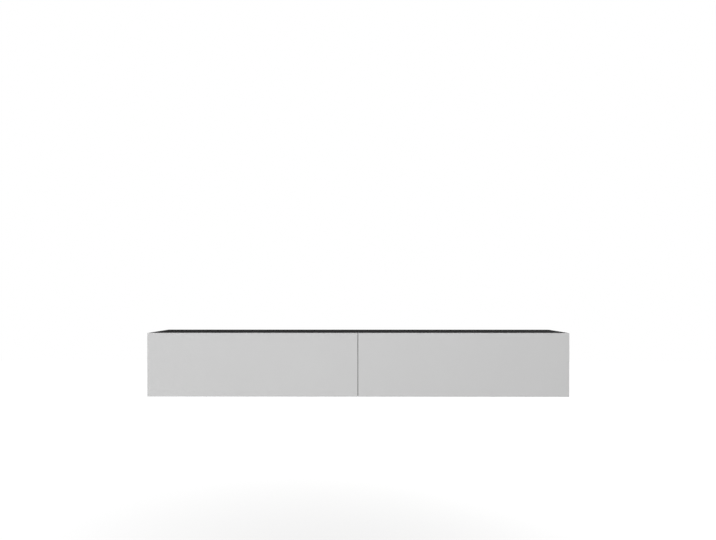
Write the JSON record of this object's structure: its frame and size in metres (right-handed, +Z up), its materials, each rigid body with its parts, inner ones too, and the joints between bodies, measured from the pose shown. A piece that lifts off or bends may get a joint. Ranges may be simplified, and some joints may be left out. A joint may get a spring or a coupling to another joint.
{
  "type": "wall-hung media console",
  "caption": "Wide, low wall-hung media console: a dark board carcass with equal light grey drop-down flaps, cup hinges, braked stays, push latches and a wall rail.",
  "frame": {"origin": "on the wall plane, at the middle of the back face of the wall rail's screwed leg", "axes": "+X along the console, from its left end to its right end as seen from the room; +Y into the wall; +Z up"},
  "size_m": [2, 0.35, 0.302],
  "materials": {
    "carcass_board": "matt black melamine on chipboard",
    "back_board": "matt black lacquered hardboard",
    "front_board": "satin light grey lacquer on fibreboard",
    "nickel_steel": "nickel plated",
    "zinc_steel": "zinc plated",
    "dark_plastic": "moulded, matt",
    "grey_plastic": "moulded, matt"
  },
  "bodies": {
    "carcass": {"top_panel": "carcass_board", "bottom_panel": "carcass_board", "centre_partition": "carcass_board", "wall_rail": "zinc_steel", "left_side_panel": "carcass_board", "left_back_panel": "back_board", "left_hinge_arm_1": "nickel_steel", "left_hinge_plate_1": "nickel_steel", "left_hinge_arm_2": "nickel_steel", "left_hinge_plate_2": "nickel_steel", "left_hinge_arm_3": "nickel_steel", "left_hinge_plate_3": "nickel_steel", "left_latch_body": "dark_plastic", "left_outer_hanger_body": "zinc_steel", "left_outer_hanger_hook": "zinc_steel", "left_outer_stay_base": "nickel_steel", "left_inner_hanger_body": "zinc_steel", "left_inner_hanger_hook": "zinc_steel", "left_inner_stay_base": "nickel_steel", "right_side_panel": "carcass_board", "right_back_panel": "back_board", "right_hinge_arm_1": "nickel_steel", "right_hinge_plate_1": "nickel_steel", "right_hinge_arm_2": "nickel_steel", "right_hinge_plate_2": "nickel_steel", "right_hinge_arm_3": "nickel_steel", "right_hinge_plate_3": "nickel_steel", "right_latch_body": "dark_plastic", "right_outer_hanger_body": "zinc_steel", "right_outer_hanger_hook": "zinc_steel", "right_outer_stay_base": "nickel_steel", "right_inner_hanger_body": "zinc_steel", "right_inner_hanger_hook": "zinc_steel", "right_inner_stay_base": "nickel_steel"},
    "left_flap": {"left_flap": "front_board", "left_hinge_cup_1": "nickel_steel", "left_hinge_cup_2": "nickel_steel", "left_hinge_cup_3": "nickel_steel", "left_latch_strike": "nickel_steel", "left_outer_stay_bracket": "nickel_steel", "left_inner_stay_bracket": "nickel_steel"},
    "left_latch_plunger": {"left_latch_plunger": "grey_plastic"},
    "left_outer_stay_brake": {"left_outer_stay_brake": "dark_plastic"},
    "left_outer_stay_rod": {"left_outer_stay_rod": "nickel_steel"},
    "left_inner_stay_brake": {"left_inner_stay_brake": "dark_plastic"},
    "left_inner_stay_rod": {"left_inner_stay_rod": "nickel_steel"},
    "right_flap": {"right_flap": "front_board", "right_hinge_cup_1": "nickel_steel", "right_hinge_cup_2": "nickel_steel", "right_hinge_cup_3": "nickel_steel", "right_latch_strike": "nickel_steel", "right_outer_stay_bracket": "nickel_steel", "right_inner_stay_bracket": "nickel_steel"},
    "right_latch_plunger": {"right_latch_plunger": "grey_plastic"},
    "right_outer_stay_brake": {"right_outer_stay_brake": "dark_plastic"},
    "right_outer_stay_rod": {"right_outer_stay_rod": "nickel_steel"},
    "right_inner_stay_brake": {"right_inner_stay_brake": "dark_plastic"},
    "right_inner_stay_rod": {"right_inner_stay_rod": "nickel_steel"}
  },
  "joints": [
    {"name": "left_flap_hinge", "type": "hinge", "parent": "carcass", "child": "left_flap", "pos_m": [-0.50062, -0.339, -0.23], "axis": [1, 0, 0], "range_deg": [0, 90]},
    {"name": "left_latch_slide", "type": "slide", "parent": "carcass", "child": "left_latch_plunger", "axis": [0, -1, 0], "range_m": [0, 0.02]},
    {"name": "left_outer_brake_turn", "type": "hinge", "parent": "carcass", "child": "left_outer_stay_brake", "pos_m": [-0.9715, -0.23545, -0.10659], "axis": [1, 0, 0], "range_deg": [0, 45]},
    {"name": "left_outer_rod_turn", "type": "hinge", "parent": "left_flap", "child": "left_outer_stay_rod", "pos_m": [-0.9715, -0.31797, -0.07029], "axis": [1, 0, 0], "range_deg": [-45, 0]},
    {"name": "left_inner_brake_turn", "type": "hinge", "parent": "carcass", "child": "left_inner_stay_brake", "pos_m": [-0.0205, -0.23545, -0.10659], "axis": [1, 0, 0], "range_deg": [0, 45]},
    {"name": "left_inner_rod_turn", "type": "hinge", "parent": "left_flap", "child": "left_inner_stay_rod", "pos_m": [-0.0205, -0.31797, -0.07029], "axis": [1, 0, 0], "range_deg": [-45, 0]},
    {"name": "right_flap_hinge", "type": "hinge", "parent": "carcass", "child": "right_flap", "pos_m": [0.50062, -0.339, -0.23], "axis": [1, 0, 0], "range_deg": [0, 90]},
    {"name": "right_latch_slide", "type": "slide", "parent": "carcass", "child": "right_latch_plunger", "axis": [0, -1, 0], "range_m": [0, 0.02]},
    {"name": "right_outer_brake_turn", "type": "hinge", "parent": "carcass", "child": "right_outer_stay_brake", "pos_m": [0.9715, -0.23545, -0.10659], "axis": [1, 0, 0], "range_deg": [0, 45]},
    {"name": "right_outer_rod_turn", "type": "hinge", "parent": "right_flap", "child": "right_outer_stay_rod", "pos_m": [0.9715, -0.31797, -0.07029], "axis": [1, 0, 0], "range_deg": [-45, 0]},
    {"name": "right_inner_brake_turn", "type": "hinge", "parent": "carcass", "child": "right_inner_stay_brake", "pos_m": [0.0205, -0.23545, -0.10659], "axis": [1, 0, 0], "range_deg": [0, 45]},
    {"name": "right_inner_rod_turn", "type": "hinge", "parent": "right_flap", "child": "right_inner_stay_rod", "pos_m": [0.0205, -0.31797, -0.07029], "axis": [1, 0, 0], "range_deg": [-45, 0]}
  ],
  "couplings": [
    {"joint": "left_latch_slide", "follows": "left_flap_hinge", "m_per_rad": 0.01273},
    {"joint": "left_outer_brake_turn", "follows": "left_flap_hinge", "ratio": 0.5},
    {"joint": "left_outer_rod_turn", "follows": "left_flap_hinge", "ratio": -0.5},
    {"joint": "left_inner_brake_turn", "follows": "left_flap_hinge", "ratio": 0.5},
    {"joint": "left_inner_rod_turn", "follows": "left_flap_hinge", "ratio": -0.5},
    {"joint": "right_latch_slide", "follows": "right_flap_hinge", "m_per_rad": 0.01273},
    {"joint": "right_outer_brake_turn", "follows": "right_flap_hinge", "ratio": 0.5},
    {"joint": "right_outer_rod_turn", "follows": "right_flap_hinge", "ratio": -0.5},
    {"joint": "right_inner_brake_turn", "follows": "right_flap_hinge", "ratio": 0.5},
    {"joint": "right_inner_rod_turn", "follows": "right_flap_hinge", "ratio": -0.5}
  ]
}
